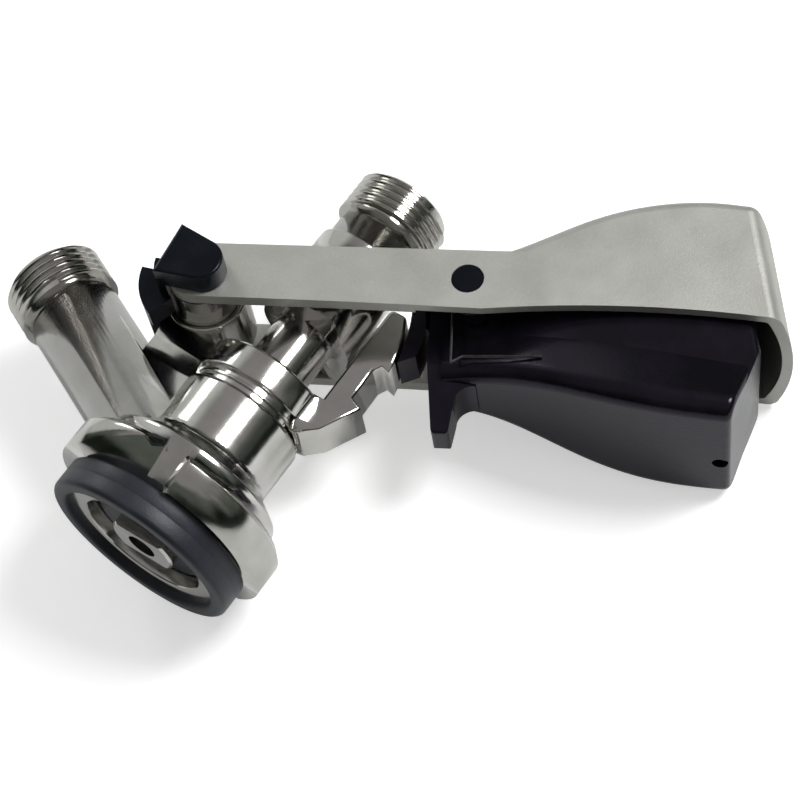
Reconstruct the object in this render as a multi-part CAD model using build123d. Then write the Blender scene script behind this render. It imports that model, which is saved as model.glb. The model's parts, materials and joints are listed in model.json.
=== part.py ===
from build123d import *
import os
from math import atan2, cos, degrees, radians, sin, sqrt

# Keg coupler with a fork lever. Millimetres, +Z up. The origin lies on the body axis, in the plane
# of the seal's front face, where the coupler meets the keg. +X points towards the handle and the
# gas inlet leaves towards -X. The lever is drawn raised and the trigger released.

# --- fits and clearances -------------------------------------------------------------------------
press_gap = 0.02        # between pieces fixed to each other
running_gap = 0.06      # radial, between a shaft and the bore that it turns or slides in
side_gap = 0.3          # between flat or curved faces that pass each other

# --- keg side ------------------------------------------------------------------------------------
seal_radius = 22.0
seal_height = 7.3
seal_bore_radius = 18.6
seal_rounding = 1.2
nose_recess = 1.8       # how far the metal rim lies behind the seal's front face
nose_radius = 20.5
nose_top = 20.0
well_radius = 14.2      # bore that the probe's head fills
well_top = 12.2

lug_radius = 25.2
lug_bottom = 7.9
lug_top = 16.2
lug_chamfer = 1.4
lug_start = -74.0       # degrees about +Z, from +X
lug_flat_end = 50.0     # where the underside begins to climb
lug_end = 92.0

# --- barrel and collar ---------------------------------------------------------------------------
barrel_radius = 14.25
shoulder_top = 24.0
barrel_top = 37.6
groove_radius = 12.7
ridge_radius = 13.3
ridge_width = 0.6
collar_radius = 14.0
collar_bottom = 40.6
collar_top = 47.6
chamber_radius = 11.2   # gas chamber round the probe
chamber_top = 34.0

# --- gas inlet -----------------------------------------------------------------------------------
gas_elevation = 24.8    # degrees above horizontal
gas_crossing = 16.8     # height at which its axis meets the body axis
gas_reach = 63.7
gas_tube_radius = 10.3
gas_bore_radius = 6.5
gas_valve_seat_depth = 17.0
gas_valve_radius = 8.0

# --- hose threads, both G5/8 ---------------------------------------------------------------------
thread_radius = 11.455
thread_length = 10.2
undercut_radius = 9.6
undercut_length = 2.2
thread_chamfer = 1.0

# --- probe ---------------------------------------------------------------------------------------
neck_radius = 7.1
beer_bore_radius = 5.0
head_radius = 13.6      # metal part of the probe's lower end
head_bottom = 6.6
head_top = 10.8
head_core_radius = 7.6
tip_seal_radius = 13.5
tip_seal_bore = 7.7
tip_seal_height = 2.0
head_ring_section = 1.0
neck_spigot_radius = 6.2
neck_spigot_length = 7.0
gland_height = 2.6
gland_depth = 1.9
gland_heights = (37.6, 43.2)

# --- check ball and its seat ---------------------------------------------------------------------
ball_radius = 4.0
ball_lift = 3.0
seat_bore_radius = 3.3
seat_plug_bottom = 1.5
seat_plug_height = 7.1
seat_flats = 9.3        # across the two flats for a spanner
seat_flat_height = 4.4
seat_cone_depth = 0.4
ball_chamber_radius = 5.6
stop_pin_radius = 1.1

# --- outlet and its yoke -------------------------------------------------------------------------
yoke_bottom = 60.6
yoke_half_length = 10.0
yoke_half_width = 14.4
yoke_height = 10.5
hub_radius = 11.0
hub_top = 82.5
outlet_tube_radius = 9.9
outlet_top = 99.8

# --- lever pivot ---------------------------------------------------------------------------------
pivot_x = -20.9
pivot_z = 54.4
lever_angle = 28.5      # degrees above horizontal, as drawn
lever_travel = 32.0
pivot_pin_radius = 4.0
boss_radius = 8.8
boss_half_width = 7.0
bush_radius = 6.5
bush_flange_radius = 7.6
bush_flange_length = 2.0
bracket_front = -11.5
bracket_rear = -25.0

# --- lever fork and shell, in the lever's own frame: length from the pivot, rise above it --------
fork_half_width = 18.0
arm_thickness = 3.0
arm_above = 7.0
arm_below = 6.3
shell_wall = 2.2
web_start = 47.0
flare_start = 63.4
flare_mid = (84.0, 17.1)
flare_end = (108.0, 21.5)
shell_tail = (118.8, 20.2)
tail_corner = 2.2
tail_lean = 11.0        # degrees, top leaning towards the pivot
tail_length = 125.3
tail_bulge = 3.3
side_corner = 3.0
top_rounding = 2.4
belly_start = 61.0
belly_drop = 7.2
belly_mid = (97.0, -5.6)
belly_end_drop = 7.8

# --- roller that drives the probe ----------------------------------------------------------------
roller_radius = 3.2
roller_length = 1.8
roller_play = 0.6       # makes up for the slot turning about the pivot
trunnion_radius = 2.0
slot_drop = 1.5         # slot's centreline below the pivot line
slot_depth = 2.1

# --- trigger grip --------------------------------------------------------------------------------
trigger_reach = 57.6    # its pin, from the lever's pivot
trigger_pin_radius = 2.5
trigger_boss_wall = 2.0
trigger_boss_half = 7.0
plug_radius = 3.45
plug_depth = 1.6
trigger_travel = 9.0
grip_wall = 2.4
grip_rounding = 3.6
neck_bottom = -18.4     # where the grip is narrowest, behind the finger stop
grip_side_play = 0.9    # to each side wall of the shell, where the grip swings up into it
hook_half_width = 4.5
hook_gap = 0.4          # between the hook and the catch's crests
hook_low = -17.0        # degrees about the pivot, the ends of the hook's inner face
hook_high = 3.0
hook_top = 3.2
finger_half_width = 6.0
finger_tip_half = 3.8
finger_tip = -29.0
finger_front = 51.2     # of its tip
finger_thickness = 3.6
drain_radius = 1.7
drain_place = (111.0, 3.6)
grip_tail = 119.6       # slanting end face, at the level of its upper end
tail_level = -9.0
tail_rounding = 1.5
tail_step = 1.8         # how much further in the end face lies inside the shell
tail_slant = 18.0       # degrees, the end face leaning in towards the bottom

spring_wire = 0.3       # radius of the wire
spring_radius = 3.6     # of the coil's centreline
spring_turns = 2.5
spring_side = 9.2       # where the coil begins, out from the middle

# --- latch catch on the body, as radii and angles about the lever's pivot ------------------------
catch_half_width = 5.5
catch_rounding = 0.7
catch_crest_radius = 44.2
catch_notch_radius = 40.9
catch_inner_x = 14.6
catch_top = 73.3

# --- pivot cover ---------------------------------------------------------------------------------
cover_thickness = 5.6
cover_inner_layer = 2.0 # the part of each cheek that reaches back to the bridge
cover_front = 6.6       # cheek's rounded front, from the pivot
cover_rear = 6.9
hood_outside = 13.3     # radius about the pivot
hood_start = 197.0      # degrees about the pivot
hood_end = 230.0        # in the middle, where the bracket's web begins
lobe_end = 251.0        # beside the web
lobe_inside = 7.4
bridge_outside = 8.9    # joins the lobes to the cheeks behind the arms' round ends
bridge_start = 199.0
bridge_end = 236.0

lever_place = Location((pivot_x, 0, pivot_z), (0, -lever_angle, 0))
gas_place = Location((0, 0, gas_crossing), (0, -(90 - gas_elevation), 0))


# --- small helpers -------------------------------------------------------------------------------
def turned(outline):
    """Revolve a closed outline of (radius, height) pairs about Z."""
    return revolve(Plane.XZ * make_face(Polyline(*outline, close=True)), Axis.Z)


def upright(radius, bottom, top):
    return Pos(0, 0, bottom) * extrude(Circle(radius), top - bottom)


def across(radius, near, far):
    """A cylinder along Y, between two places on it."""
    return Pos(0, near, 0) * Rot(-90, 0, 0) * extrude(Circle(radius), far - near)


def slab(outline, half_width):
    """A closed outline in X and Z, thickened to both sides of Y = 0."""
    return extrude(Plane.XZ * make_face(outline), half_width, both=True)


def rims(solid, radius, height):
    """The circular edges about Z of one radius, at one height."""
    return [
        edge for edge in solid.edges().filter_by(GeomType.CIRCLE)
        if abs(edge.radius - radius) < 0.01 and abs(edge.arc_center.Z - height) < 0.01
    ]


def hose_end(tube_radius, start, end):
    """Turned outline of a tube with an undercut and a thread's plain major diameter at its end."""
    thread_start = end - thread_length
    undercut_start = thread_start - undercut_length
    return [
        (tube_radius, start),
        (tube_radius, undercut_start),
        (undercut_radius, undercut_start),
        (undercut_radius, thread_start),
        (thread_radius, thread_start),
        (thread_radius, end - thread_chamfer),
        (thread_radius - thread_chamfer, end),
    ]


def ring(section, inner, height):
    """An O-ring: its section radius, its inside radius and the height of its middle."""
    return revolve(Plane.XZ * Pos(inner + section, height) * Circle(section), Axis.Z)


def at_angle(radius, angle):
    """A point in the XY plane at an angle in degrees."""
    return (radius * cos(radians(angle)), radius * sin(radians(angle)))


# --- valve body ----------------------------------------------------------------------------------
def lug():
    """One bayonet lug: a ring segment whose underside climbs at one end."""
    blank = upright(lug_radius, lug_bottom, lug_top)
    blank = chamfer(rims(blank, lug_radius, lug_top), lug_chamfer)
    reach = 2 * lug_radius
    steps = 4
    fan = [at_angle(reach, lug_start + (lug_end - lug_start) * k / steps) for k in range(steps + 1)]
    wedge = extrude(make_face(Polyline((0, 0), *fan, close=True)), 2 * lug_top)
    climb_run = lug_radius * sin(radians(lug_end - lug_flat_end))
    climb_angle = degrees(atan2(lug_top - lug_bottom, climb_run))
    under = Box(reach, reach, lug_top, align=(Align.MIN, Align.MAX, Align.MAX))
    under = Rot(0, 0, lug_end) * Pos(0, 0, lug_top) * Rot(climb_angle, 0, 0) * under
    return blank & wedge - under


def body_shell():
    """Nose, shoulder, barrel, grooved waist and collar in one turning."""
    half_ridge = ridge_width / 2
    waist = (barrel_top + collar_bottom) / 2
    outline = [(0, nose_recess), (seal_bore_radius - press_gap, nose_recess)]
    outline += [(seal_bore_radius - press_gap, seal_height), (nose_radius, seal_height)]
    outline += [(nose_radius, nose_top), (barrel_radius, shoulder_top), (barrel_radius, barrel_top)]
    outline += [(groove_radius, barrel_top)]
    outline += [(groove_radius, waist - half_ridge), (ridge_radius, waist - half_ridge)]
    outline += [(ridge_radius, waist + half_ridge), (groove_radius, waist + half_ridge)]
    outline += [(groove_radius, collar_bottom), (collar_radius, collar_bottom)]
    outline += [(collar_radius, collar_top), (0, collar_top)]
    shell = turned(outline)
    shell = fillet(rims(shell, barrel_radius, barrel_top), 1.3)
    shell = fillet(rims(shell, barrel_radius, shoulder_top), 3.0)
    shell = fillet(rims(shell, nose_radius, nose_top), 0.8)
    shell = fillet(rims(shell, collar_radius, collar_top), 1.0)
    return fillet(rims(shell, collar_radius, collar_bottom), 0.6)


def gas_arm():
    """The slanting gas inlet, from the body axis out to its threaded end."""
    outline = [(0, 0)] + hose_end(gas_tube_radius, 0, gas_reach) + [(0, gas_reach)]
    return gas_place * turned(outline)


def gas_way():
    """The inlet's stepped bore: a wide mouth that holds the check valve, then the passage."""
    mouth = upright(gas_valve_radius, gas_reach - gas_valve_seat_depth, gas_reach)
    passage = upright(gas_bore_radius, 0, gas_reach)
    return gas_place * (mouth + passage)


def bracket():
    """The upright that carries the lever's pivot: a boss on a web that runs down to the inlet."""
    boss = Pos(pivot_x, 0, pivot_z) * across(boss_radius, -boss_half_width, boss_half_width)
    web = slab(
        Polyline(
            (pivot_x - 3.0, pivot_z),
            (pivot_x - 5.4, pivot_z - boss_radius + 1.0),
            (bracket_rear, collar_bottom + 1.0),
            (bracket_rear, gas_top_at(bracket_rear)),
            (0, gas_top_at(0)),
            (0, collar_top - 2.0),
            (bracket_front, collar_top - 2.0),
            (pivot_x + 5.6, pivot_z - 2.0),
            close=True,
        ),
        boss_half_width,
    )
    return boss + web


def gas_top_at(x):
    """Height of the inlet's axis at a place along X."""
    return gas_crossing - x * sin(radians(gas_elevation)) / cos(radians(gas_elevation))


def from_pivot(radius, angle):
    """A point in X and Z, by its radius and angle about the lever's pivot."""
    return (pivot_x + radius * cos(radians(angle)), pivot_z + radius * sin(radians(angle)))


def catch_post():
    """The notched post that the trigger's hook rides on, with crests concentric to the pivot."""
    crest, notch = catch_crest_radius, catch_notch_radius
    top_outer = from_pivot(crest, 19.0)
    outline = Polyline(
        (0, barrel_top - 1),
        (barrel_radius + 0.6, barrel_top + 0.8),
        from_pivot(crest - 3.0, -18.5),
        from_pivot(crest - 0.2, -6.0),
        from_pivot(notch, -4.6),
        from_pivot(notch, 6.0),
        from_pivot(crest - 2.0, 8.4),
        from_pivot(crest, 7.4),
        from_pivot(crest, 13.2),
        top_outer,
        (top_outer[0] - 2.4, catch_top),
        (catch_inner_x, catch_top),
        (catch_inner_x, collar_top),
        (0, collar_top),
        close=True,
    )
    post = slab(outline, catch_half_width)
    post = fillet(post.edges().filter_by(Axis.Y).group_by(Axis.Z)[-1], 1.2)
    outer = [edge for edge in post.edges() if edge.center().X > barrel_radius + 2 and edge.length > 2]
    flat_edges = [edge for edge in outer if abs(abs(edge.center().Y) - catch_half_width) < 0.01]
    post = fillet(flat_edges, catch_rounding)
    core = upright(collar_radius - 0.5, barrel_top - 2, collar_top + 1)
    return post - core


def valve_body():
    lugs = lug()
    solid = body_shell() + lugs + Rot(0, 0, 180) * lugs + gas_arm() + bracket()
    solid += catch_post()
    solid -= gas_way() - upright(barrel_radius, collar_bottom, collar_top)
    solid -= upright(well_radius, 0, well_top)
    solid -= upright(chamber_radius, 0, chamber_top)
    solid -= upright(neck_radius + running_gap, 0, collar_top + 1)
    for height in gland_heights:
        solid -= upright(neck_radius + gland_depth, height - gland_height / 2, height + gland_height / 2)
    pin_hole = across(pivot_pin_radius + press_gap, -fork_half_width, fork_half_width)
    return solid - Pos(pivot_x, 0, pivot_z) * pin_hole


def bottom_seal():
    outline = [(seal_bore_radius, 0), (seal_radius, 0)]
    outline += [(seal_radius, seal_height), (seal_bore_radius, seal_height)]
    seal = turned(outline)
    seal = fillet(rims(seal, seal_radius, 0), seal_rounding)
    seal = fillet(rims(seal, seal_radius, seal_height), seal_rounding / 2)
    return fillet(rims(seal, seal_bore_radius, 0), seal_rounding / 2)


def guide_o_rings():
    section = gland_depth / 2 - running_gap
    inner = neck_radius + running_gap
    return Compound([ring(section, inner, height) for height in gland_heights])


def gas_check_valve():
    """A rubber duckbill: a flange, a sleeve and two lips that close to a slit."""
    seat = gas_reach - gas_valve_seat_depth
    flange = upright(gas_valve_radius - press_gap, seat + press_gap, seat + 2.4)
    sleeve = upright(gas_bore_radius - 0.5, seat - 5.0, seat + 2.4)
    lips = Pos(0, 0, seat - 5.0) * loft([Circle(gas_bore_radius - 0.5), Pos(0, 0, -5.0) * Rectangle(1.6, 9.0)])
    hollow = upright(gas_bore_radius - 1.8, seat - 5.0, seat + 2.5)
    throat = Pos(0, 0, seat - 5.0) * loft([Circle(gas_bore_radius - 1.8), Pos(0, 0, -4.2) * Rectangle(0.3, 6.0)])
    return gas_place * (flange + sleeve + lips - hollow - throat)


def gas_valve_ring():
    """The ring nut that holds the duckbill, with two slots for its key."""
    seat = gas_reach - gas_valve_seat_depth
    nut = upright(gas_valve_radius - press_gap, seat + 2.45, seat + 6.5)
    nut -= upright(gas_bore_radius - 1.2, seat, seat + 7)
    slots = Pos(0, 0, seat + 5.6) * Box(2.0, 3 * gas_valve_radius, 2.0)
    return gas_place * (nut - slots)


def pivot_pin():
    half = fork_half_width + side_gap + cover_thickness * 0.6
    pin = across(pivot_pin_radius, -half, half)
    return Pos(pivot_x, 0, pivot_z) * chamfer(pin.edges().filter_by(GeomType.CIRCLE), 0.5)


def pivot_bushes():
    """Flanged spacers between the bracket's boss and the two arms of the fork."""
    inside = boss_half_width + press_gap
    outside = fork_half_width - arm_thickness - side_gap
    bush = across(bush_radius, inside, outside)
    bush += across(bush_flange_radius, inside, inside + bush_flange_length)
    bush -= across(pivot_pin_radius + press_gap, inside - 1, outside + 1)
    bush = Pos(pivot_x, 0, pivot_z) * bush
    return Compound([bush, mirror(bush, Plane.XZ)])


def annular_sector(inner, outer, start, end):
    """A flat ring segment between two radii and two angles in degrees."""
    middle = (start + end) / 2
    return make_face([
        ThreePointArc(at_angle(outer, start), at_angle(outer, middle), at_angle(outer, end)),
        Line(at_angle(outer, end), at_angle(inner, end)),
        ThreePointArc(at_angle(inner, end), at_angle(inner, middle), at_angle(inner, start)),
        Line(at_angle(inner, start), at_angle(outer, start)),
    ])


def pivot_cover():
    """The moulded cover: a cheek over each end of the pin and a hood that joins them behind the boss."""
    inner = fork_half_width + side_gap
    outer = inner + cover_thickness
    cheek_face = make_face([
        Line((-cover_rear, 5.4), (2.0, 5.2)),
        ThreePointArc((2.0, 5.2), (cover_front, 0.2), (4.4, -4.0)),
        Line((4.4, -4.0), (-5.2, -7.2)),
        Line((-5.2, -7.2), (-cover_rear, 5.4)),
    ])
    cheeks = extrude(Plane.XZ * cheek_face, outer, both=True)
    rims_outside = [edge for edge in cheeks.edges() if abs(edge.center().Y) > outer - 0.1]
    cheeks = fillet(rims_outside, 0.6)
    gap = Box(8 * cover_front, 2 * inner, 8 * cover_front)
    cover = cheeks - gap
    between_arms = fork_half_width - arm_thickness - side_gap
    hood = annular_sector(boss_radius + side_gap, hood_outside, hood_start, hood_end)
    cover += extrude(Plane.XZ * hood, between_arms, both=True)
    lobes = annular_sector(lobe_inside, hood_outside, hood_start, lobe_end)
    beside_bushes = boss_half_width + bush_flange_length + side_gap
    clear = Box(4 * hood_outside, 2 * beside_bushes, 4 * hood_outside)
    cover += extrude(Plane.XZ * lobes, between_arms, both=True) - clear
    bridge = annular_sector(lobe_inside, bridge_outside, bridge_start, bridge_end)
    cover += extrude(Plane.XZ * bridge, inner + cover_inner_layer, both=True) - clear
    tail = annular_sector(cover_front - 1, bridge_outside, bridge_start, bridge_end)
    cover += extrude(Plane.XZ * tail, inner + cover_inner_layer, both=True) - gap
    depth = inner + 0.6 * cover_thickness + 0.1
    sockets = across(pivot_pin_radius + press_gap, -depth, depth)
    return Pos(pivot_x, 0, pivot_z) * (cover - sockets)


# --- probe ---------------------------------------------------------------------------------------
def probe_shaft():
    """The sliding tube: a wide head in the well, the ball chamber, the neck and a spigot on top."""
    top = yoke_bottom + neck_spigot_length
    outline = [(0, head_bottom), (head_radius, head_bottom)]
    outline += [(head_radius, head_top), (head_core_radius + 1.6, head_top)]
    outline += [(neck_radius, head_top + 4.0), (neck_radius, yoke_bottom), (neck_spigot_radius, yoke_bottom)]
    outline += [(neck_spigot_radius, top), (0, top)]
    shaft = turned(outline)
    half_groove = head_ring_section + 0.1
    groove = upright(2 * head_radius, head_ring_height() - half_groove, head_ring_height() + half_groove)
    groove -= upright(well_radius - running_gap - 2 * head_ring_section - press_gap, 0, head_top)
    shaft -= groove
    shaft -= upright(beer_bore_radius, 0, top + 1)
    shaft -= upright(ball_chamber_radius, 0, stop_pin_height() + 3.0)
    shaft -= upright(neck_spigot_radius, head_bottom - 1, seat_plug_top())
    return shaft - Pos(0, 0, stop_pin_height()) * across(stop_pin_radius + press_gap, -head_radius, head_radius)


def head_ring_height():
    return (head_bottom + head_top) / 2


def seat_plug_top():
    return seat_plug_bottom + seat_plug_height


def ball_rest_height():
    """The ball's centre just clear of the seat cone's lower edge."""
    clear = ball_radius + side_gap
    return seat_plug_top() - seat_cone_depth + sqrt(clear**2 - seat_bore_radius**2)


def stop_pin_height():
    return ball_rest_height() + ball_radius + ball_lift + side_gap + stop_pin_radius


def ball_seat():
    """The plug in the probe's mouth: two spanner flats in front, and the ball's seat behind."""
    top = seat_plug_top()
    plug = upright(head_core_radius, seat_plug_bottom, head_bottom - press_gap)
    plug = chamfer(rims(plug, head_core_radius, seat_plug_bottom), 0.5)
    flats = Box(4 * head_core_radius, 4 * head_core_radius, 2 * (seat_plug_bottom + seat_flat_height))
    flats -= Box(4 * head_core_radius, seat_flats, 4 * head_core_radius)
    plug -= flats
    plug += upright(neck_spigot_radius - press_gap, seat_plug_bottom + seat_flat_height, top)
    plug -= upright(seat_bore_radius, 0, top + 1)
    cone_foot = top - seat_cone_depth
    cone_rim = seat_bore_radius + seat_cone_depth
    return plug - turned([(0, cone_foot), (seat_bore_radius, cone_foot), (cone_rim, top), (0, top)])


def ball_stop_pin():
    return Pos(0, 0, stop_pin_height()) * across(stop_pin_radius, -neck_radius + 0.2, neck_radius - 0.2)


def tip_seal():
    """The flat rubber washer that meets the keg's own valve."""
    bottom = head_bottom - press_gap - tip_seal_height
    outline = [(tip_seal_bore, bottom), (tip_seal_radius, bottom)]
    outline += [(tip_seal_radius, bottom + tip_seal_height), (tip_seal_bore, bottom + tip_seal_height)]
    return fillet(rims(turned(outline), tip_seal_radius, bottom), 0.6)


def head_o_ring():
    inner = well_radius - running_gap - 2 * head_ring_section
    return ring(head_ring_section, inner, head_ring_height())


def outlet_yoke():
    """The block that the lever drives, the round hub above it and the threaded beer outlet."""
    block = Pos(0, 0, yoke_bottom) * Box(
        2 * yoke_half_length, 2 * yoke_half_width, yoke_height, align=(Align.CENTER, Align.CENTER, Align.MIN)
    )
    block = chamfer(block.edges().filter_by(Axis.Z), 1.0)
    outline = [(0, yoke_bottom), (hub_radius, yoke_bottom), (hub_radius, hub_top), (outlet_tube_radius, hub_top)]
    outline += hose_end(outlet_tube_radius, hub_top, outlet_top)[1:] + [(0, outlet_top)]
    barrel = turned(outline)
    barrel = fillet(rims(barrel, hub_radius, hub_top), 0.8)
    yoke = block + barrel
    yoke -= upright(beer_bore_radius, yoke_bottom - 1, outlet_top + 1)
    yoke -= upright(neck_spigot_radius + press_gap, yoke_bottom - 1, yoke_bottom + neck_spigot_length + press_gap)
    hole = across(trunnion_radius + press_gap, -2 * yoke_half_width, 2 * yoke_half_width)
    hole -= across(trunnion_radius + 1, -hub_radius + 1.0, hub_radius - 1.0)
    return yoke - Pos(0, 0, roller_height()) * hole


def roller_height(turn=0.0):
    """Height of the roller's axis when the slot's centreline passes it, for a turn of the lever."""
    angle = radians(lever_angle - turn)
    return pivot_z + (-slot_drop - pivot_x * sin(angle)) / cos(angle)


def roller_reach(turn=0.0):
    """How far along the lever the roller then stands from the pivot."""
    angle = radians(lever_angle - turn)
    return -pivot_x * cos(angle) + (roller_height(turn) - pivot_z) * sin(angle)


def trunnion_pins():
    outside = fork_half_width - arm_thickness + slot_depth - side_gap
    pin = Pos(0, 0, roller_height()) * across(trunnion_radius, hub_radius - 1.0 + press_gap, outside)
    return Compound([pin, mirror(pin, Plane.XZ)])


def drive_rollers():
    outside = fork_half_width - arm_thickness + slot_depth - side_gap
    roller = across(roller_radius, outside - roller_length, outside)
    roller -= across(trunnion_radius + running_gap, outside - roller_length - 1, outside + 1)
    roller = Pos(0, 0, roller_height()) * roller
    return Compound([roller, mirror(roller, Plane.XZ)])


def check_ball():
    return Pos(0, 0, ball_rest_height()) * Sphere(ball_radius)


# --- lever ---------------------------------------------------------------------------------------
def tail_at(rise):
    """How far back the shell's end wall reaches at its middle, at a rise above the pivot line."""
    return tail_length - (rise + belly_end_drop) * sin(radians(tail_lean)) / cos(radians(tail_lean))


def flare(wall):
    """The curve of the shell's back, outside with no wall and inside with one."""
    top = shell_tail[1] - wall
    return Spline(
        (flare_start, arm_above - wall),
        (flare_mid[0], flare_mid[1] - wall),
        (flare_end[0], flare_end[1] - wall),
        (tail_at(top), top),
        tangents=[(1, 0.4), (1, -0.12)],
    )


def shell_plan(wall):
    """The shell seen from above, its end wall bulging, as a leaning prism."""
    half = fork_half_width - wall
    corner = tail_length - tail_bulge - wall
    front = -2 * arm_above if wall == 0 else web_start
    outline = [
        Line((front, half), (front, -half)),
        Line((front, -half), (corner, -half)),
        ThreePointArc((corner, -half), (tail_length - wall, 0), (corner, half)),
        Line((corner, half), (front, half)),
    ]
    face = make_face(outline)
    back = [vertex for vertex in face.vertices() if vertex.X > web_start + 1]
    face = fillet(back, max(side_corner - wall, 1.0))
    drop = 3 * belly_end_drop
    lean = Vector(-sin(radians(tail_lean)), 0, cos(radians(tail_lean)))
    foot = Pos(tail_at(-drop) - tail_length, 0, -drop) * face
    return extrude(foot, 3 * drop, dir=lean)


def lever_shell():
    """Fork and handle shell in one casting: two arms, a flared back, an end wall and an open belly."""
    foot = (tail_at(-belly_end_drop), -belly_end_drop)
    middle, round_end = (arm_above - arm_below) / 2, (arm_above + arm_below) / 2
    back = flare(0)
    side = [
        back,
        Line(back @ 1, foot),
        ThreePointArc(foot, belly_mid, (belly_start, -belly_drop)),
        Spline((belly_start, -belly_drop), (0, -arm_below), tangents=[(-1, 0.03), (-1, 0)]),
        ThreePointArc((0, -arm_below), (-round_end, middle), (0, arm_above)),
        Line((0, arm_above), (flare_start, arm_above)),
    ]
    outer = slab(side, fork_half_width) & shell_plan(0)
    crown = [
        edge for edge in outer.edges()
        if edge.center().Z > arm_above + 0.5 and abs(edge.center().Y) > fork_half_width - side_corner
    ]
    outer = fillet(crown, top_rounding)
    below = -3 * belly_end_drop
    inner_back = flare(shell_wall)
    inner_tail = (tail_at(below), below)
    inside = [
        Line((web_start, below), (web_start, arm_above - shell_wall)),
        Line((web_start, arm_above - shell_wall), (flare_start, arm_above - shell_wall)),
        inner_back,
        Line(inner_back @ 1, inner_tail),
        Line(inner_tail, (web_start, below)),
    ]
    inner = slab(inside, fork_half_width) & shell_plan(shell_wall)
    gap_half = fork_half_width - arm_thickness
    gap = Box(web_start + 3 * round_end, 2 * gap_half, 8 * arm_above, align=(Align.MIN, Align.CENTER, Align.CENTER))
    shell = outer - inner - Pos(-3 * round_end, 0, 0) * gap
    shell -= across(pivot_pin_radius + running_gap, -2 * fork_half_width, 2 * fork_half_width)
    shell -= Pos(trigger_reach, 0, 0) * across(plug_radius + press_gap, -2 * fork_half_width, 2 * fork_half_width)
    return lever_place * (shell - roller_slots())


def roller_slots():
    """Blind slots in the inner faces of the arms, as long as the roller's path."""
    reaches = [roller_reach(lever_travel * k / 8) for k in range(9)]
    half_height = roller_radius + roller_play
    first = min(reaches) - roller_radius - side_gap
    last = max(reaches) + roller_radius + side_gap
    depth = fork_half_width - arm_thickness + slot_depth
    slot = Box(last - first, 2 * depth, 2 * half_height)
    slot = fillet(slot.edges().filter_by(Axis.Y), half_height - 0.6)
    return Pos((first + last) / 2, 0, -slot_drop) * slot


def trigger_pin():
    half = fork_half_width - press_gap - 0.2
    pin = across(trigger_pin_radius, -half + plug_depth, half - plug_depth)
    pin = chamfer(pin.edges().filter_by(GeomType.CIRCLE), 0.4)
    return lever_place * Pos(trigger_reach, 0, 0) * pin


def pin_plugs():
    """Black plugs that close the shell's holes over the trigger pin's ends."""
    outside = fork_half_width - 0.1
    plug = across(plug_radius, outside - plug_depth, outside)
    plug = chamfer(plug.edges().group_by(Axis.Y)[-1], 0.3)
    plug = lever_place * Pos(trigger_reach, 0, 0) * plug
    return Compound([plug, mirror(plug, Plane.XZ)])


# --- trigger -------------------------------------------------------------------------------------
def grip_section(station, bottom, top, low_half, high_half, rounding):
    """One section across the grip: upright where it enters the shell, flared below, rounded under."""
    swing = (station - trigger_reach) * sin(radians(trigger_travel))
    entry = -belly_end_drop - max(swing, 0.0)
    entry = max(min(entry, bottom + (top - bottom) / 2), bottom + 3.0)
    right = [(low_half, bottom), (high_half, entry), (high_half, top)]
    left = [(-half, height) for half, height in reversed(right)]
    face = make_face(Polyline(*right, *left, close=True))
    low = [vertex for vertex in face.vertices() if vertex.Y < bottom + 0.1]
    face = fillet(low, rounding)
    return Plane((station, 0, 0), x_dir=(0, 1, 0), z_dir=(1, 0, 0)) * face


def grip_body(wall):
    """The flared grip, solid with no wall, or the hollow inside it with one."""
    inside_shell = fork_half_width - shell_wall - grip_side_play
    # place along the lever: bottom, top, half width at the bottom and half width at the entry
    stations = {
        finger_front + 1.3: (neck_bottom + 0.4, 3.2, 8.0, 7.0),
        trigger_reach + 3.4: (neck_bottom, 3.4, 10.4, 8.4),
        trigger_reach + 14.4: (-21.0, 4.6, 13.8, 12.2),
        trigger_reach + 28.4: (-25.6, 6.6, 18.0, 14.4),
        trigger_reach + 43.4: (-28.8, 8.0, 19.4, inside_shell),
        trigger_reach + 54.4: (-29.8, 8.0, 19.2, inside_shell),
        trigger_reach + 66.4: (-30.2, 8.0, 18.8, inside_shell),
    }
    rounding = grip_rounding - wall / 2
    sections = [
        grip_section(along, low + wall, high + 4 * wall, lower - wall, upper - wall, rounding)
        for along, (low, high, lower, upper) in stations.items()
    ]
    return loft(sections)


def finger_stop():
    """The tapering blade in front of the grip that keeps the fingers off the catch."""
    front, rear = finger_front, finger_front + finger_thickness
    arch_top = neck_bottom - 0.2
    side = make_face([
        Polyline((front - 2.4, 3.0), (front - 2.2, -12.0), (front, finger_tip), (rear, finger_tip)),
        Line((rear, finger_tip), (rear + 0.6, finger_tip + 6.0)),
        ThreePointArc((rear + 0.6, finger_tip + 6.0), (rear + 1.6, arch_top - 1.3), (rear + 5.0, arch_top)),
        Polyline((rear + 5.0, arch_top), (rear + 5.0, 3.0), (front - 2.4, 3.0)),
    ])
    taper = Plane.YZ * make_face(Polyline(
        (finger_half_width, 3.0), (finger_half_width, -14.0), (finger_tip_half, finger_tip),
        (-finger_tip_half, finger_tip), (-finger_half_width, -14.0), (-finger_half_width, 3.0),
        close=True,
    ))
    blade = extrude(Plane.XZ * side, finger_half_width, both=True) & extrude(taper, 2 * rear)
    tip = [edge for edge in blade.edges() if edge.center().Z < finger_tip + 0.1]
    return fillet(tip, 0.9)


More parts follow.
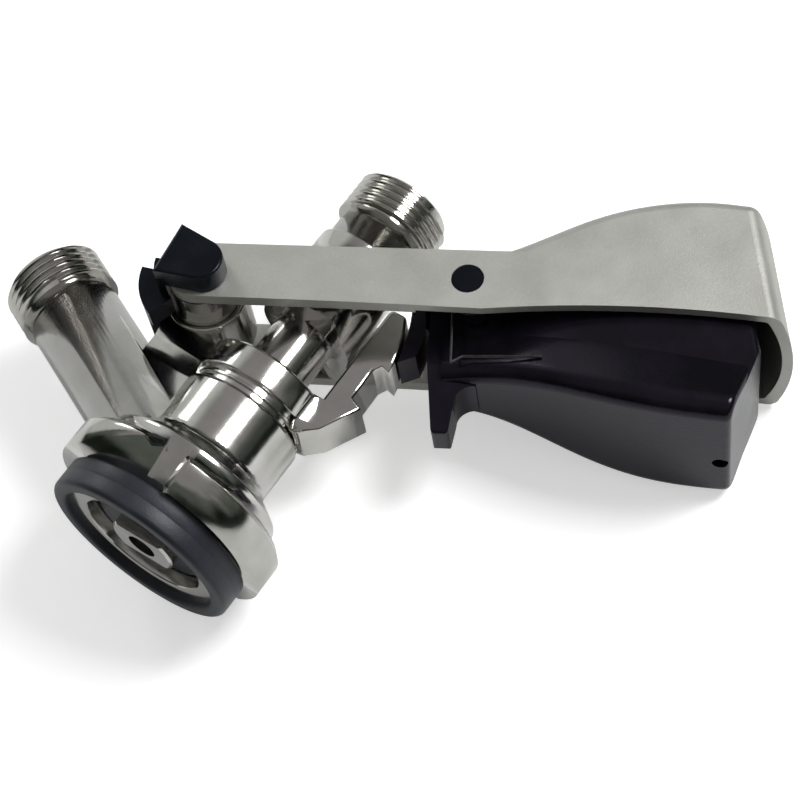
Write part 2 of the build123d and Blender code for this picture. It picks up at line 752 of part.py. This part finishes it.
def hook():
    """The claw that rides on the catch: its inner face is concentric with the lever's pivot."""
    inner = catch_crest_radius + hook_gap
    middle = (hook_low + hook_high) / 2
    tip, waist, root = (inner + 1.8, -11.4), (inner + 2.8, 0.0), (inner + 5.4, 2.0)
    face = make_face([
        ThreePointArc(at_angle(inner, hook_high), at_angle(inner, middle), at_angle(inner, hook_low)),
        Line(at_angle(inner, hook_low), tip),
        ThreePointArc(tip, (inner + 3.0, -7.0), waist),
        Line(waist, root),
        Line(root, (root[0], hook_top)),
        Line((root[0], hook_top), at_angle(inner, hook_high)),
    ])
    return extrude(Plane.XZ * face, hook_half_width, both=True)


def behind_tail(cut):
    """Everything behind the grip's end: its slanting face, and above it a face along the shell's wall."""
    block = Box(tail_length, tail_length, tail_length, align=(Align.MIN, Align.CENTER, Align.CENTER))
    slanting = Pos(grip_tail - cut, 0, tail_level) * Rot(0, tail_slant, 0) * block
    along_wall = Pos(grip_tail - tail_step - cut, 0, tail_level) * Rot(0, -tail_lean, 0) * block
    return slanting + along_wall


def grip_trigger():
    """The moulded trigger: a hollow flared grip with its finger stop, hook and pin boss."""
    outer = grip_body(0) - behind_tail(0)
    ends = outer.edges().filter_by(lambda edge: edge.center().X > grip_tail - fork_half_width)
    low = ends.filter_by(lambda edge: edge.center().Z < 0 and edge.length > 2 * grip_rounding)
    corners = low.filter_by(lambda edge: abs(edge.center().Y) > fork_half_width / 2)
    outer = fillet(corners, tail_rounding)
    grip = outer - (grip_body(grip_wall) - behind_tail(grip_wall))
    drain_along, drain_side = drain_place
    grip -= Pos(drain_along, drain_side, 0) * upright(drain_radius, -tail_length, tail_level)
    grip += finger_stop() + hook()
    grip += Pos(trigger_reach, 0, 0) * across(
        trigger_pin_radius + trigger_boss_wall, -trigger_boss_half, trigger_boss_half
    )
    grip -= Pos(trigger_reach, 0, 0) * across(trigger_pin_radius + running_gap, -fork_half_width, fork_half_width)
    return lever_place * grip


def wire(points):
    """A bent wire through points given as (along, side, rise) in the lever's frame."""
    bent = Pos(*points[0]) * Sphere(spring_wire)
    for start, end in zip(points, points[1:]):
        run = Vector(*end) - Vector(*start)
        bent += Plane(origin=start, z_dir=run) * upright(spring_wire, 0, run.length)
        bent += Pos(*end) * Sphere(spring_wire)
    return bent


def trigger_spring():
    """A torsion spring: its coil round the trigger's pin, one leg to the shell and one to the grip."""
    pitch = 2 * spring_wire + 0.12
    length = spring_turns * pitch
    path = Helix(pitch, length, spring_radius)
    start = path @ 0
    profile = Plane(origin=start, z_dir=path % 0) * RegularPolygon(spring_wire, 8)
    coil = sweep(profile, path)
    coil = Pos(trigger_reach, -spring_side, 0) * Rot(90, 0, 0) * coil
    near, far = -spring_side, -spring_side - length
    grip_leg = wire([
        (trigger_reach - spring_radius, far, 0),
        (trigger_reach - 2.7, far, -16.2),
        (trigger_reach - 0.4, far, -14.7),
        (trigger_reach + 16.0, far - 2.9, -15.8),
    ])
    shell_leg = wire([(trigger_reach + spring_radius, near, 0), (trigger_reach + spring_radius, near, 4.2)])
    return lever_place * (coil + grip_leg + shell_leg)


def nodes():
    return {
        "valve_body": valve_body(),
        "bottom_seal": bottom_seal(),
        "guide_o_rings": guide_o_rings(),
        "gas_check_valve": gas_check_valve(),
        "gas_valve_ring": gas_valve_ring(),
        "pivot_pin": pivot_pin(),
        "pivot_bushes": pivot_bushes(),
        "pivot_cover": pivot_cover(),
        "probe_shaft": probe_shaft(),
        "ball_seat": ball_seat(),
        "ball_stop_pin": ball_stop_pin(),
        "tip_seal": tip_seal(),
        "head_o_ring": head_o_ring(),
        "outlet_yoke": outlet_yoke(),
        "trunnion_pins": trunnion_pins(),
        "drive_rollers": drive_rollers(),
        "check_ball": check_ball(),
        "lever_shell": lever_shell(),
        "trigger_pin": trigger_pin(),
        "pin_plugs": pin_plugs(),
        "grip_trigger": grip_trigger(),
        "trigger_spring": trigger_spring(),
    }


os.makedirs("parts", exist_ok=True)
for name, shape in nodes().items():
    export_step(shape, f"parts/{name}.step")
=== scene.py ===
import json
from math import cos, pi, radians, sin

import bmesh
import bpy
from mathutils import Matrix, Vector


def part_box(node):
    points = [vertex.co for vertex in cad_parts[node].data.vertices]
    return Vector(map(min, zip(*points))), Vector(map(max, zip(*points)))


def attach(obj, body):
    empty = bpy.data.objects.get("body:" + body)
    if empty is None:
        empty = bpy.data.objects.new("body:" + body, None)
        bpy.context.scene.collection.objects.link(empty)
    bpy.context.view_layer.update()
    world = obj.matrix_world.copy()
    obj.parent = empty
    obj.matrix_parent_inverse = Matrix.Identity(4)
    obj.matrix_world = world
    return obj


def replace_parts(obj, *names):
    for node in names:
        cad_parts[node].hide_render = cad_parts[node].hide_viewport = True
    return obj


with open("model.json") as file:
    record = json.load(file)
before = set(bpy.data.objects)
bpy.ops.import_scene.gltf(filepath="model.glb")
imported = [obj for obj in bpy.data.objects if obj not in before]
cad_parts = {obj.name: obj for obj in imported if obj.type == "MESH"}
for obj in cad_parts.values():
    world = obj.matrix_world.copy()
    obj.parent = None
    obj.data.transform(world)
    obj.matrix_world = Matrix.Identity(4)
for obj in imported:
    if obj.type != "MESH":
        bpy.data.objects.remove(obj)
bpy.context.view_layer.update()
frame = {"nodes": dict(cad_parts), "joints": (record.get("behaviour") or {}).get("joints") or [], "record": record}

nodes = frame["nodes"]
mounts = {mount["name"]: mount for mount in frame["record"]["mounts"]}
joints = {joint["name"]: joint for joint in frame["joints"]}
scene = bpy.context.scene
tau = 2 * pi
print("frame loaded:", len(nodes), "nodes")

# camera, looking at the coupler from its keg end, with the table behind it
camera = {
    "place": (0.20563, -0.43669, -0.12120),
    "turn": (115.394, -34.144, 7.374),      # degrees
    "lens": 107.4, "sensor": 36, "nearest": 0.01,
}
cameraData = bpy.data.cameras.new("camera")
cameraData.lens = camera["lens"]
cameraData.sensor_width = camera["sensor"]
cameraData.clip_start = camera["nearest"]
cameraObject = bpy.data.objects.new("camera", cameraData)
cameraObject.location = camera["place"]
cameraObject.rotation_euler = [radians(angle) for angle in camera["turn"]]
scene.collection.objects.link(cameraObject)
scene.camera = cameraObject
scene.view_settings.view_transform = "Standard"


# shader helpers: an input is linked where it is given an output, and set where it is given a value
def connect(tree, node, inputs):
    for socket, given in inputs.items():
        if isinstance(given, bpy.types.NodeSocket):
            tree.links.new(given, node.inputs[socket])
        else:
            node.inputs[socket].default_value = given


def addNode(tree, kind, inputs, operation=None):
    node = tree.nodes.new("ShaderNode" + kind)
    if operation:
        node.operation = operation
    connect(tree, node, inputs)
    return node


def newMaterial(name):
    material = bpy.data.materials.new(name)
    material.use_nodes = True
    tree = material.node_tree
    return material, tree, tree.nodes["Principled BSDF"]


def opaque(colour):
    return (*colour, 1)


def objectPoints(tree, scale=(1, 1, 1)):
    coords = tree.nodes.new("ShaderNodeTexCoord")
    mapping = addNode(tree, "Mapping", {"Vector": coords.outputs["Object"], "Scale": scale})
    return mapping.outputs["Vector"]


# a noise is given as its scale, detail and roughness
def noise(tree, points, scale, detail, rough):
    texture = addNode(tree, "TexNoise", {
        "Vector": points, "Scale": scale, "Detail": detail, "Roughness": rough})
    return texture.outputs["Fac"]


def ramp(tree, value, stops, smooth=False):
    node = addNode(tree, "ValToRGB", {"Fac": value})
    if smooth:
        node.color_ramp.interpolation = "EASE"
    while len(node.color_ramp.elements) < len(stops):
        node.color_ramp.elements.new(0.5)
    for element, (place, colour) in zip(node.color_ramp.elements, stops):
        element.position = place
        element.color = opaque(colour)
    return node.outputs["Color"]


# two tones laid over a noise, the first below the range and the second above it
def twoTone(tree, value, settings, first, second):
    low, high = settings["tones"]
    return ramp(tree, value, [(low, settings[first]), (high, settings[second])])


def spread(tree, value, low, high):
    node = addNode(tree, "MapRange", {"Value": value, "To Min": low, "To Max": high})
    return node.outputs["Result"]


def bump(tree, height, distance, below=None):
    node = addNode(tree, "Bump", {"Height": height, "Distance": distance})
    if below is not None:
        connect(tree, node, {"Normal": below})
    return node.outputs["Normal"]


def mixColours(tree, factor, first, second):
    node = tree.nodes.new("ShaderNodeMix")
    node.data_type = "RGBA"
    connect(tree, node, {"Factor": factor, "A": first, "B": second})
    return node.outputs["Result"]


# polished nickel plate: cast waviness under a fine polish, a little tarnish in patches
nickel = {
    "light": (0.62, 0.605, 0.59), "tarnish": (0.47, 0.47, 0.43), "tones": (0.40, 0.72),
    "polish": (0.08, 0.19),                 # roughness, best and worst
    "patches": (70, 4, 0.55), "handling": (260, 5, 0.7),
    "waves": (110, 2, 0.4), "waveHeight": 0.00007,
    "grain": (900, 2, 0.55), "grainHeight": 0.000008,
}


def nickelPlate(name, settings):
    material, tree, shader = newMaterial(name)
    points = objectPoints(tree)
    patches = noise(tree, points, *settings["patches"])
    handling = noise(tree, points, *settings["handling"])
    waves = bump(tree, noise(tree, points, *settings["waves"]), settings["waveHeight"])
    grain = noise(tree, points, *settings["grain"])
    connect(tree, shader, {
        "Base Color": twoTone(tree, patches, settings, "light", "tarnish"),
        "Metallic": 1.0,
        "Roughness": spread(tree, handling, *settings["polish"]),
        "Normal": bump(tree, grain, settings["grainHeight"], waves),
    })
    return material


# bead-blasted cast steel: an even matt grey with fine grain and faint smears
blasted = {
    "light": (0.505, 0.505, 0.475), "dark": (0.425, 0.425, 0.395), "tones": (0.32, 0.66),
    "metallic": 0.75, "rough": (0.42, 0.54),
    "cloud": (60, 5, 0.6), "speck": (1500, 2, 0.55), "speckShare": 0.18,
    "grain": (2600, 2, 0.7), "grainHeight": 0.00004,
}


def blastedSteel(name, settings):
    material, tree, shader = newMaterial(name)
    points = objectPoints(tree)
    cloud = noise(tree, points, *settings["cloud"])
    speck = noise(tree, points, *settings["speck"])
    share = settings["speckShare"]
    specked = addNode(tree, "Math", {0: cloud, 1: spread(tree, speck, -share, share)}, "ADD")
    grain = noise(tree, points, *settings["grain"])
    connect(tree, shader, {
        "Base Color": twoTone(tree, specked.outputs["Value"], settings, "dark", "light"),
        "Metallic": settings["metallic"],
        "Roughness": spread(tree, cloud, *settings["rough"]),
        "Normal": bump(tree, grain, settings["grainHeight"]),
    })
    return material


# turned stainless steel and drawn wire: fine lines round the piece
turned = {
    "light": (0.66, 0.66, 0.64), "dark": (0.5, 0.5, 0.48), "tones": (0.35, 0.65),
    "rough": (0.18, 0.34), "squeeze": (1, 1, 40), "lines": (160, 3, 0.55),
    "grain": (1200, 2, 0.55), "grainHeight": 0.00001,
}
wire = {**turned, "light": (0.10, 0.10, 0.10), "dark": (0.05, 0.05, 0.05), "rough": (0.35, 0.5)}


def turnedSteel(name, settings):
    material, tree, shader = newMaterial(name)
    lines = noise(tree, objectPoints(tree, settings["squeeze"]), *settings["lines"])
    grain = noise(tree, objectPoints(tree), *settings["grain"])
    connect(tree, shader, {
        "Base Color": twoTone(tree, lines, settings, "dark", "light"),
        "Metallic": 1.0,
        "Roughness": spread(tree, lines, *settings["rough"]),
        "Normal": bump(tree, grain, settings["grainHeight"]),
    })
    return material


# rubber and the moulded plastics share one recipe: a base with bloom in patches, and a fine skin
rubberLook = {
    "dark": (0.010, 0.011, 0.016), "light": (0.022, 0.024, 0.033), "tones": (0.42, 0.74),
    "rough": (0.36, 0.54), "specular": 0.45, "sheen": (0.90, 0.94, 1.0),
    "bloom": (90, 5, 0.65), "skin": (1600, 3, 0.6), "skinHeight": 0.00004,
}
coverLook = {
    "dark": (0.002, 0.003, 0.005), "light": (0.005, 0.006, 0.010), "tones": (0.42, 0.74),
    "rough": (0.18, 0.30), "specular": 0.20, "sheen": (0.76, 0.84, 1.0),
    "bloom": (120, 5, 0.65), "skin": (2200, 3, 0.6), "skinHeight": 0.00003,
}
gripLook = {
    "dark": (0.0028, 0.0024, 0.004), "light": (0.006, 0.005, 0.009), "tones": (0.42, 0.74),
    "rough": (0.15, 0.26), "specular": 0.31, "sheen": (0.84, 0.74, 1.0),
    "bloom": (110, 5, 0.65), "skin": (1300, 3, 0.6), "skinHeight": 0.00003,
}
acetalLook = {
    "dark": (0.72, 0.72, 0.68), "light": (0.80, 0.80, 0.77), "tones": (0.42, 0.74),
    "rough": (0.30, 0.42), "specular": 0.5, "sheen": (1.0, 1.0, 1.0),
    "bloom": (150, 5, 0.65), "skin": (900, 3, 0.6), "skinHeight": 0.00001,
}


def moulded(name, settings):
    material, tree, shader = newMaterial(name)
    points = objectPoints(tree)
    bloom = noise(tree, points, *settings["bloom"])
    skin = noise(tree, points, *settings["skin"])
    connect(tree, shader, {
        "Base Color": twoTone(tree, bloom, settings, "dark", "light"),
        "Roughness": spread(tree, bloom, *settings["rough"]),
        "Specular IOR Level": settings["specular"],
        "Specular Tint": opaque(settings["sheen"]),
        "Normal": bump(tree, skin, settings["skinHeight"]),
    })
    return material


finishes = {
    "polished_nickel": nickelPlate("polishedNickel", nickel),
    "blasted_steel": blastedSteel("blastedSteel", blasted),
    "turned_steel": turnedSteel("turnedSteel", turned),
    "spring_wire": turnedSteel("springWire", wire),
    "black_rubber": moulded("blackRubber", rubberLook),
    "matt_black_plastic": moulded("mattBlackPlastic", coverLook),
    "gloss_black_plastic": moulded("glossBlackPlastic", gripLook),
    "white_acetal": moulded("whiteAcetal", acetalLook),
}
for part in frame["record"]["subparts"]:
    for holder in nodes[part["node"]].material_slots:
        holder.material = finishes[part["material_slot"]]
print("finishes made:", len(finishes))

# steps round a turned piece and round each turn of a thread, and the angle that shows as an edge
fineness = {"plain": 96, "fine": 160, "thread": 56, "edge": 32}


# mesh helpers
def finishPiece(name, bm, body, slotName):
    mesh = bpy.data.meshes.new(name)
    bm.to_mesh(mesh)
    bm.free()
    mesh.shade_smooth()
    mesh.set_sharp_from_angle(angle=radians(fineness["edge"]))
    mesh.materials.append(finishes[slotName])
    piece = bpy.data.objects.new(name, mesh)
    scene.collection.objects.link(piece)
    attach(piece, body)
    return piece


def closedLoop(bm, corners):
    return [bm.edges.new((a, b)) for a, b in zip(corners, corners[1:] + corners[:1])]


# a closed outline of radius and height, turned about the upright axis
def spinOutline(bm, outline, steps):
    corners = [bm.verts.new((r, 0, z)) for r, z in outline]
    bmesh.ops.spin(bm, geom=corners + closedLoop(bm, corners), cent=(0, 0, 0), axis=(0, 0, 1),
                   angle=tau, steps=steps, use_merge=True)
    bmesh.ops.recalc_face_normals(bm, faces=bm.faces)


def turnedPiece(name, outline, slotName):
    bm = bmesh.new()
    spinOutline(bm, outline, fineness["fine"])
    return finishPiece(name, bm, "coupler", slotName)


# G5/8 hose threads, cut in place of the plain ends of the two castings
hoseThread = {
    "pitch": 0.001814, "crest": 0.011455, "root": 0.01029, "turns": 4.35,
    "length": 0.0102, "lead": 0.0012,
    "neck": 0.0096, "neckSlope": 0.0003, "endSlope": 0.0006, "boreSlope": 0.0004,
    "sunk": 0.0002, "edgeFall": 0.00012,
    "sunkHalf": 0.92, "footHalf": 0.86, "edgeHalf": 0.24, "crestHalf": 0.10,    # of half a pitch
}
threadEnds = [
    {"name": "gasThread", "casting": "castBody", "node": "valve_body", "body": "coupler",
     "mount": "gas_inlet_thread", "bore": 0.0080},
    {"name": "beerThread", "casting": "outletBlock", "node": "outlet_yoke", "body": "probe",
     "mount": "beer_outlet_thread", "bore": 0.0050},
]
cutLimits = {"weld": 2e-6, "plane": 1e-7}


def threadRidge(bm):
    t = hoseThread
    half = t["pitch"] / 2
    rising = [
        (t["root"] - t["sunk"], t["sunkHalf"]), (t["root"], t["footHalf"]),
        (t["crest"] - t["edgeFall"], t["edgeHalf"]), (t["crest"], t["crestHalf"]),
    ]
    section = [(r, -share) for r, share in rising] + rising[::-1]
    corners = [bm.verts.new((r, 0, t["lead"] + share * half)) for r, share in section]
    sides = closedLoop(bm, corners)
    steps = int(t["turns"] * fineness["thread"])
    swept = bmesh.ops.spin(bm, geom=corners + sides, cent=(0, 0, 0), axis=(0, 0, 1),
                           angle=tau * t["turns"], steps=steps,
                           dvec=(0, 0, t["pitch"] * t["turns"] / steps))
    last = [g for g in swept["geom_last"] if isinstance(g, bmesh.types.BMEdge)]
    bmesh.ops.contextual_create(bm, geom=sides)
    bmesh.ops.contextual_create(bm, geom=last)
    bmesh.ops.recalc_face_normals(bm, faces=bm.faces)


def threadAxis(end):
    mount = mounts[end["mount"]]
    axis = Vector(mount["axis"]).normalized()
    half = mount["dims"]["length_mm"] / 2000
    return Vector(mount["pos_m"]) - axis * half, axis


# the casting without its plain end: cut square where the thread starts, and closed
def trimmedCasting(end):
    start, axis = threadAxis(end)
    bm = bmesh.new()
    bm.from_mesh(nodes[end["node"]].data)
    bmesh.ops.remove_doubles(bm, verts=bm.verts, dist=cutLimits["weld"])
    cut = bmesh.ops.bisect_plane(bm, geom=bm.verts[:] + bm.edges[:] + bm.faces[:],
                                 dist=cutLimits["plane"], plane_co=start, plane_no=axis,
                                 clear_outer=True)
    rim = [g for g in cut["geom_cut"] if isinstance(g, bmesh.types.BMEdge)]
    bmesh.ops.triangle_fill(bm, edges=rim, use_beauty=True)
    piece = finishPiece(end["casting"], bm, end["body"], "polished_nickel")
    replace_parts(piece, end["node"])


def threadedEnd(end):
    t, bore = hoseThread, end["bore"]
    start, axis = threadAxis(end)
    bm = bmesh.new()
    spinOutline(bm, [
        (bore, 0.0), (t["neck"], 0.0), (t["root"], t["neckSlope"]),
        (t["root"], t["length"] - t["endSlope"]), (t["root"] - t["endSlope"], t["length"]),
        (bore + t["boreSlope"], t["length"]), (bore, t["length"] - t["boreSlope"])],
        fineness["plain"])
    threadRidge(bm)
    facing = Matrix.Translation(start) @ axis.to_track_quat("Z", "Y").to_matrix().to_4x4()
    bmesh.ops.transform(bm, matrix=facing, verts=bm.verts)
    finishPiece(end["name"], bm, end["body"], "polished_nickel")


for end in threadEnds:
    trimmedCasting(end)
for end in threadEnds:
    threadedEnd(end)
print("threads cut")

# grooved waist between barrel and collar, turned finer than the casting
waistBand = {
    "low": 0.03755, "high": 0.04066, "inside": 0.0122, "groove": 0.01274, "ridge": 0.01334,
    "middle": 0.0391, "ridgeHalf": 0.00034, "foot": 0.00016,
}


def waistRing():
    w = waistBand
    under, over = w["middle"] - w["ridgeHalf"], w["middle"] + w["ridgeHalf"]
    turnedPiece("waistBand", [
        (w["inside"], w["low"]), (w["groove"], w["low"]),
        (w["groove"], under - w["foot"]), (w["groove"] + w["foot"], under),
        (w["ridge"] - w["foot"], under), (w["ridge"], under + w["foot"]),
        (w["ridge"], over - w["foot"]), (w["ridge"] - w["foot"], over),
        (w["groove"] + w["foot"], over), (w["groove"], over + w["foot"]),
        (w["groove"], w["high"]), (w["inside"], w["high"])], "polished_nickel")


waistRing()

# the metal rim behind the seal and the wall of the well, turned
noseRim = {
    "well": 0.01417, "seal": 0.01857, "front": 0.00178, "back": 0.0026, "top": 0.0121,
    "edge": 0.00028, "edgeShare": 0.3, "wall": 0.0004,
}


def noseRing():
    n = noseRim
    inner = n["edge"] * n["edgeShare"]
    turnedPiece("noseRim", [
        (n["well"], n["front"] + n["edge"]), (n["well"] + inner, n["front"] + inner),
        (n["well"] + n["edge"], n["front"]), (n["seal"], n["front"]), (n["seal"], n["back"]),
        (n["well"] + n["wall"], n["back"]), (n["well"] + n["wall"], n["top"]),
        (n["well"], n["top"])], "polished_nickel")


noseRing()

# round bead on each end of the pivot boss
bossBead = {"radius": 0.0082, "half": 0.0070, "bead": 0.00046, "corners": 12}


def bossBeads():
    b = bossBead
    angles = [tau * k / b["corners"] for k in range(b["corners"])]
    bm = bmesh.new()
    for side in (-b["half"], b["half"]):
        spinOutline(bm, [(b["radius"] + b["bead"] * cos(angle), side + b["bead"] * sin(angle))
                         for angle in angles], fineness["plain"])
    pivot = Vector(joints["lever_pivot"]["pos_m"])
    across = Matrix.Translation(pivot) @ Matrix.Rotation(radians(90), 4, "X")
    bmesh.ops.transform(bm, matrix=across, verts=bm.verts)
    finishPiece("bossBeads", bm, "coupler", "polished_nickel")


bossBeads()

# keg seal, turned in rubber with its moulding line, as wide and as high as its solid
kegSeal = {
    "bore": 0.01852, "frontRound": 0.0012, "backRound": 0.0006, "cornerSteps": 5,
    "seam": 0.00006, "seamHalf": 0.0002, "seamShare": 0.55,
}


# a quarter round of an outline, from its middle, its radius and the angle where it starts
def corner(r, z, radius, start):
    steps = kegSeal["cornerSteps"]
    angles = [radians(start + 90 * k / steps) for k in range(steps + 1)]
    return [(r + radius * cos(angle), z + radius * sin(angle)) for angle in angles]


def sealRing():
    k = kegSeal
    outside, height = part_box("bottom_seal")[1].xz
    front, back, seam = k["frontRound"], k["backRound"], height * k["seamShare"]
    outline = corner(k["bore"] + back, back, back, 180)
    outline += corner(outside - front, front, front, 270)
    outline += [(outside, seam - k["seamHalf"]), (outside - k["seam"], seam),
                (outside, seam + k["seamHalf"])]
    outline += corner(outside - back, height - back, back, 0)
    outline += [(k["bore"], height)]
    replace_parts(turnedPiece("kegSeal", outline, "black_rubber"), "bottom_seal")


sealRing()
print("rings turned")

# table that the coupler lies on, seen and reflected only from its upper side
table = {
    "normal": (-0.0306, -0.9985, -0.0462), "level": -0.0259, "size": 6.0,
    "colour": (0.80, 0.81, 0.80), "rough": 0.7,
    "glow": 0.46, "mirrored": 0.06,         # its own light, seen directly and in reflections
}


def tableFinish():
    material, tree, shader = newMaterial("table")
    rays = tree.nodes.new("ShaderNodeLightPath").outputs
    facing = tree.nodes.new("ShaderNodeNewGeometry").outputs
    connect(tree, shader, {
        "Base Color": opaque(table["colour"]),
        "Roughness": table["rough"],
        "Emission Color": (1, 1, 1, 1),
        "Emission Strength": spread(tree, rays["Is Camera Ray"], table["mirrored"], table["glow"]),
    })
    direct = addNode(tree, "Math", {0: rays["Is Camera Ray"], 1: rays["Is Glossy Ray"]}, "ADD")
    seen = addNode(tree, "Math", {0: direct.outputs["Value"], 1: facing["Backfacing"]}, "SUBTRACT")
    seen.use_clamp = True
    clear = tree.nodes.new("ShaderNodeBsdfTransparent")
    mix = addNode(tree, "MixShader", {
        "Fac": seen.outputs["Value"], 1: clear.outputs["BSDF"], 2: shader.outputs["BSDF"]})
    connect(tree, tree.nodes["Material Output"], {"Surface": mix.outputs["Shader"]})
    return material


def tableTop():
    normal = Vector(table["normal"]).normalized()
    facing = normal.to_track_quat("Z", "Y").to_matrix().to_4x4()
    bm = bmesh.new()
    bmesh.ops.create_grid(bm, x_segments=1, y_segments=1, size=table["size"] / 2)
    bmesh.ops.transform(bm, matrix=Matrix.Translation(normal * table["level"]) @ facing,
                        verts=bm.verts)
    mesh = bpy.data.meshes.new("table")
    bm.to_mesh(mesh)
    bm.free()
    mesh.materials.append(tableFinish())
    top = bpy.data.objects.new("table", mesh)
    scene.collection.objects.link(top)


tableTop()

# room: white seen directly, even grey to the light that fills, and in reflections a bright
# ceiling over dark walls with one window
room = {
    "fill": (0.38, 0.38, 0.38),
    "dark": (0.006, 0.010, 0.006), "wall": (0.10, 0.11, 0.095),
    "above": (0.30, 0.29, 0.285), "below": (0.36, 0.335, 0.405),
    "bands": [(0.10, "below"), (0.28, "wall"), (0.36, "dark"), (0.56, "dark"), (0.68, "wall"),
              (0.84, "above")],
    "ceiling": (-0.03, -0.9985, -0.046), "reach": 0.42,
    "shapes": (2.6, 1.5, 0.5), "uneven": (0.32, 0.68),
    "window": (-0.93, -0.25, 0.26), "frame": (0.70, 0.86), "glass": (0.62, 0.64, 0.62),
}


def roomLight():
    world = bpy.data.worlds.new("room")
    world.use_nodes = True
    scene.world = world
    tree = world.node_tree
    outward = tree.nodes.new("ShaderNodeTexCoord").outputs["Generated"]
    rays = tree.nodes.new("ShaderNodeLightPath").outputs
    height = addNode(tree, "VectorMath", {0: outward, 1: room["ceiling"]}, "DOT_PRODUCT")
    uneven = spread(tree, noise(tree, outward, *room["shapes"]), *room["uneven"])
    level = addNode(tree, "Math", {0: height.outputs["Value"], 1: room["reach"], 2: uneven},
                    "MULTIPLY_ADD")
    bands = [(place, room[tone]) for place, tone in room["bands"]]
    walls = ramp(tree, level.outputs["Value"], bands, smooth=True)
    towards = addNode(tree, "VectorMath", {0: outward, 1: room["window"]}, "DOT_PRODUCT")
    outer, inner = room["frame"]
    pane = ramp(tree, towards.outputs["Value"], [(outer, (0, 0, 0)), (inner, (1, 1, 1))],
                smooth=True)
    mirrored = mixColours(tree, pane, walls, opaque(room["glass"]))
    lit = mixColours(tree, rays["Is Glossy Ray"], opaque(room["fill"]), mirrored)
    seen = mixColours(tree, rays["Is Camera Ray"], lit, (1, 1, 1, 1))
    connect(tree, tree.nodes["Background"], {"Color": seen})


roomLight()

# lamps: a large soft one over the table, a smaller one low from the handle's side, one behind
lamps = {
    "over": {"place": (0.38, -0.84, 0.46), "size": 0.32, "power": 7.5},
    "side": {"place": (-0.80, -0.45, 0.30), "size": 0.3, "power": 1.2},
    "behind": {"place": (0.1, 0.8, 0.5), "size": 0.7, "power": 2.0},
}
lampAim = Vector((0.01, 0, 0.06))
for name, lamp in lamps.items():
    data = bpy.data.lights.new(name, "AREA")
    data.shape = "SQUARE"
    data.size = lamp["size"]
    data.energy = lamp["power"]
    light = bpy.data.objects.new(name, data)
    light.location = lamp["place"]
    aim = lampAim - light.location
    light.rotation_euler = aim.to_track_quat("-Z", "Y").to_euler()
    scene.collection.objects.link(light)
print("stage set")
